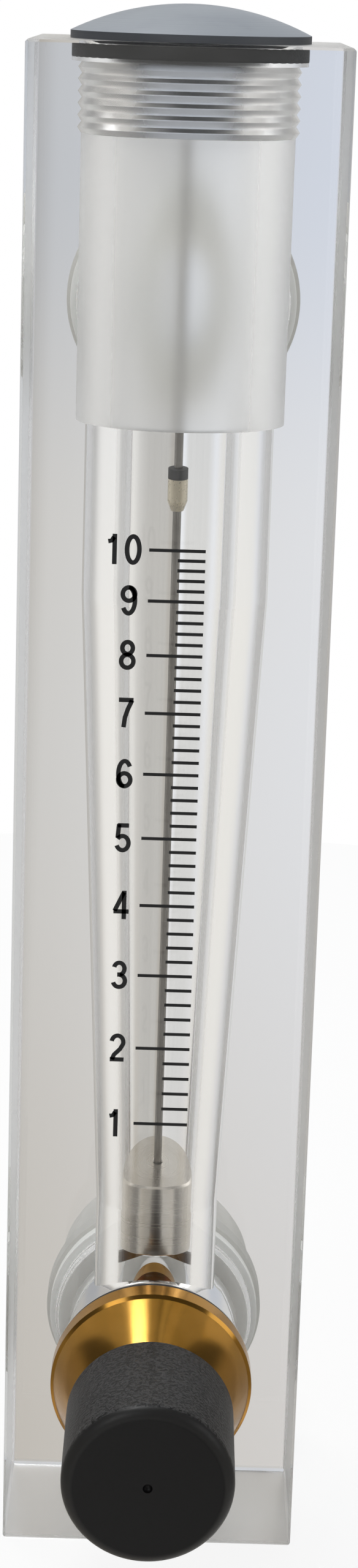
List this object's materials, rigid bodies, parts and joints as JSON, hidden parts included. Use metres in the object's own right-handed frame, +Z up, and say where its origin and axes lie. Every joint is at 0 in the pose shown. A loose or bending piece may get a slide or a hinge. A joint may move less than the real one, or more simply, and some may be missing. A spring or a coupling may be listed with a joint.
{
  "type": "panel mount flowmeter",
  "caption": "Clear acrylic block flowmeter with a guided steel float in a tapered bore, a printed scale, a brass needle valve with a round knob, and rear pipe adapters for a panel.",
  "frame": {"origin": "centre of the block's flat bottom face", "axes": "+Z up along the metering bore, -Y out of the front face that carries the scale and the valve knob, +Y out of the rear face towards the panel, +X to the right seen from the front"},
  "size_m": [0.0572, 0.1036, 0.2977],
  "materials": {
    "acrylic": "clear cast acrylic, polished faces, turned bores",
    "ink": "hot-stamped black ink",
    "plug_plastic": "turned grey plastic",
    "seal_rubber": "moulded black rubber",
    "stainless": "drawn stainless steel",
    "nylon": "translucent natural nylon",
    "float_steel": "turned stainless steel, polished side",
    "brass": "turned and polished brass",
    "knob_plastic": "moulded black plastic with a fine grain",
    "black_steel": "black oxide steel",
    "adapter_plastic": "turned natural polypropylene",
    "seal_silicone": "moulded white silicone rubber"
  },
  "bodies": {
    "root": {"acrylic_block": "acrylic", "scale_ticks": "ink", "top_plug": "plug_plastic", "top_plug_ring": "seal_rubber", "guide_rod": "stainless", "stop_ring": "seal_rubber", "stop_sleeve": "nylon", "rod_spider": "stainless", "valve_bonnet": "brass", "bonnet_ring": "seal_rubber", "inlet_adapter": "adapter_plastic", "inlet_ring": "seal_silicone", "outlet_adapter": "adapter_plastic", "outlet_ring": "seal_silicone"},
    "float": {"float": "float_steel"},
    "valve_disc": {"valve_disc": "brass", "seat_washer": "seal_rubber", "washer_screw": "brass", "swivel_clip": "stainless"},
    "spindle": {"valve_stem": "stainless", "stem_ring_inner": "seal_rubber", "stem_ring_outer": "seal_rubber", "knob": "knob_plastic", "knob_insert": "brass", "knob_set_screw": "black_steel"}
  },
  "joints": [
    {"name": "float_rise", "type": "slide", "parent": "root", "child": "float", "axis": [0, 0, 1], "range_m": [0, 0.132]},
    {"name": "disc_lift", "type": "slide", "parent": "root", "child": "valve_disc", "axis": [0, -1, 0], "range_m": [0, 0.00508]},
    {"name": "knob_turn", "type": "hinge", "parent": "valve_disc", "child": "spindle", "pos_m": [0, -0.04, 0.0367], "axis": [0, -1, 0], "range_deg": [0, 1440]}
  ],
  "couplings": [
    {"joint": "knob_turn", "follows": "disc_lift", "rad_per_m": 4947.4}
  ]
}
